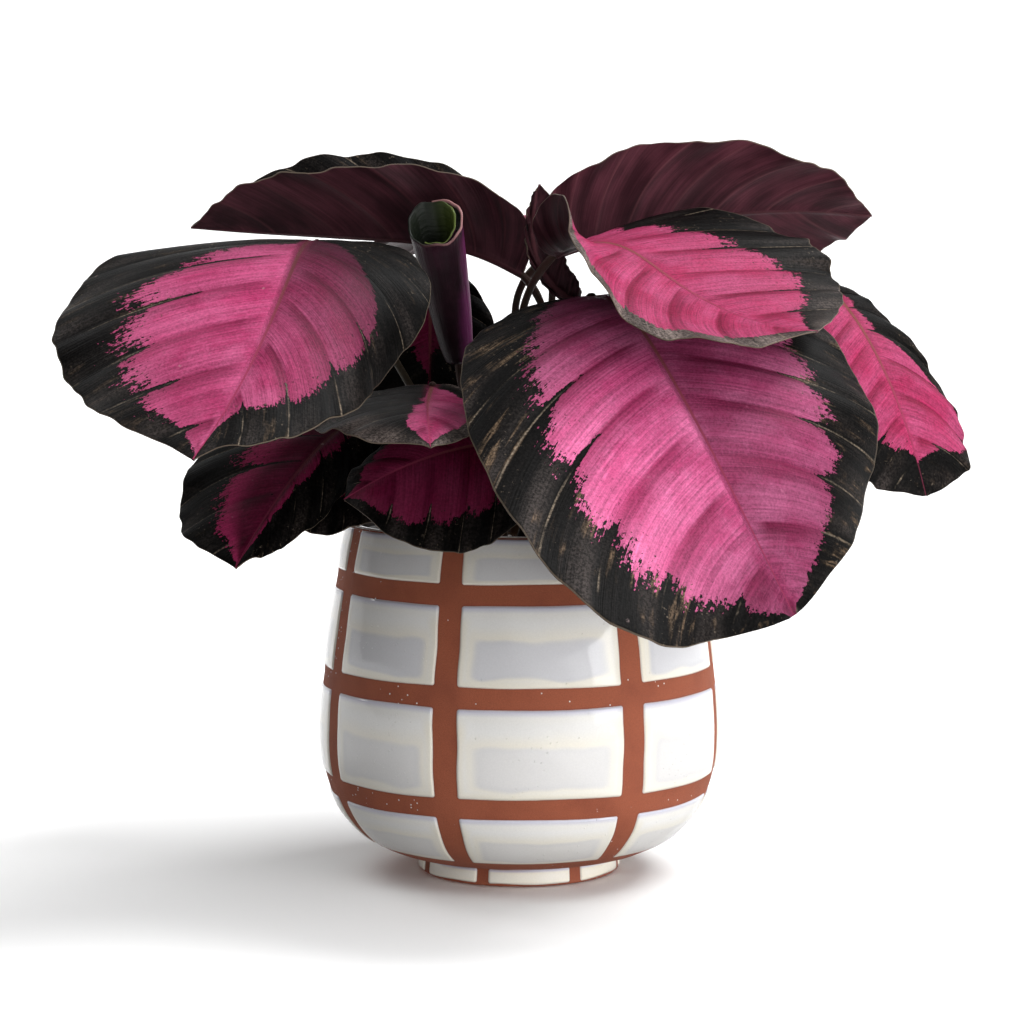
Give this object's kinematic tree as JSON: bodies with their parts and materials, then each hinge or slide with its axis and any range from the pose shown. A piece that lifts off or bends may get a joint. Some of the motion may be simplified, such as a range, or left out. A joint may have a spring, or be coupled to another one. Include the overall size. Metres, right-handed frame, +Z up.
{
  "type": "potted calathea",
  "caption": "Prayer plant with broad round crimson-centred leaves and purple undersides on arching stems, in a white glazed clay planter with a bare clay grid.",
  "frame": {"origin": "on the planter's axis at the underside of its foot", "axes": "+Z up; -Y is the front, the side seen in the picture; +X is to the right of it"},
  "size_m": [0.3956, 0.3535, 0.3266],
  "materials": {
    "planter": "white gloss glaze panels with bare matte clay strips between them",
    "nursery_pot": "thin dark plastic",
    "soil": null,
    "leaf": "blackish green margin round a crimson pink centre above, wine purple below, soft sheen",
    "stem": "dark olive brown, smooth"
  },
  "bodies": {
    "root": {"planter": "planter", "nursery_pot": "nursery_pot", "soil": "soil", "leaf_front_left": "leaf", "stem_front_left": "stem", "leaf_front_right": "leaf", "stem_front_right": "stem", "leaf_upper_right": "leaf", "stem_upper_right": "stem", "leaf_back_right": "leaf", "stem_back_right": "stem", "leaf_back_left": "leaf", "stem_back_left": "stem", "leaf_far_right": "leaf", "stem_far_right": "stem", "leaf_middle": "leaf", "stem_middle": "stem", "leaf_inner": "leaf", "stem_inner": "stem", "leaf_lower_left": "leaf", "stem_lower_left": "stem", "leaf_tucked_left": "leaf", "stem_tucked_left": "stem", "leaf_lower_middle": "leaf", "stem_lower_middle": "stem", "leaf_young": "leaf", "stem_young": "stem", "leaf_rear_top": "leaf", "stem_rear_top": "stem", "leaf_rear_left": "leaf", "stem_rear_left": "stem", "leaf_rear_right": "leaf", "stem_rear_right": "stem", "leaf_rolled": "leaf", "stem_rolled": "stem"}
  },
  "joints": []
}
